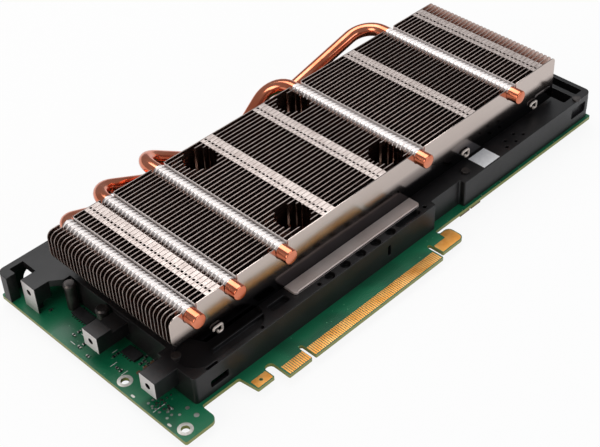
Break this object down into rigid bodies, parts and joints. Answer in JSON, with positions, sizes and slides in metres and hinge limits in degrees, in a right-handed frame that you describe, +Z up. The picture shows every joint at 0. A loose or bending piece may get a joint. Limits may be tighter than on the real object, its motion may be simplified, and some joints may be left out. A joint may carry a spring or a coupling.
{
  "type": "passive accelerator card",
  "caption": "Long dual-slot accelerator card with a fanless fin stack, copper heat pipes, black frame and gold edge connector.",
  "frame": {"origin": "middle of the edge connector's key slot, on the mating edge, at the underside of the board", "axes": "+X along the board to the far end, +Y from the mating edge to the back, +Z up through the heatsink"},
  "size_m": [0.248, 0.1111, 0.0386],
  "materials": {
    "board": "green solder mask, satin",
    "gold": "gold-plated contacts",
    "tin": "tinned pads",
    "frame": "black painted casting",
    "steel": "plated steel screws",
    "paper": "blank white label",
    "plate": "smooth nickel-plated sheet",
    "fins": "nickel-plated fin sheet",
    "copper": "bare copper tube",
    "base": "machined plate",
    "chip": "moulded chip body",
    "lid": "nickel-plated lid",
    "pad": "soft thermal pad",
    "choke": "pressed powder choke",
    "can": "drawn can",
    "brown": "moulded capacitor",
    "plug": "black nylon header"
  },
  "bodies": {
    "root": {"circuit_board": "board", "contacts_top": "gold", "contacts_bottom": "gold", "plated_tabs": "gold", "mounting_rings": "tin", "frame": "frame", "frame_screws": "steel", "deck_screws": "steel", "standoffs": "steel", "standoff_screws": "steel", "label": "paper", "side_plate": "plate", "plain_fins": "fins", "well_fins_front": "fins", "well_fins_back": "fins", "pipe_collars": "fins", "heat_pipe_1": "copper", "heat_pipe_2": "copper", "heat_pipe_3": "copper", "heat_pipe_4": "copper", "heat_pipe_5": "copper", "base_plate": "base", "spring_screws": "steel", "screw_springs": "steel", "backing_plate": "steel", "processor_package": "board", "processor_lid": "lid", "memory_chips_top": "chip", "memory_chips_bottom": "chip", "thermal_pads": "pad", "chokes": "choke", "transistors": "chip", "capacitors": "can", "control_chip_a": "chip", "control_chip_b": "chip", "small_parts": "brown", "under_capacitors": "brown", "power_plug_6": "plug", "power_plug_8": "plug", "plug_pins": "gold"}
  },
  "joints": []
}
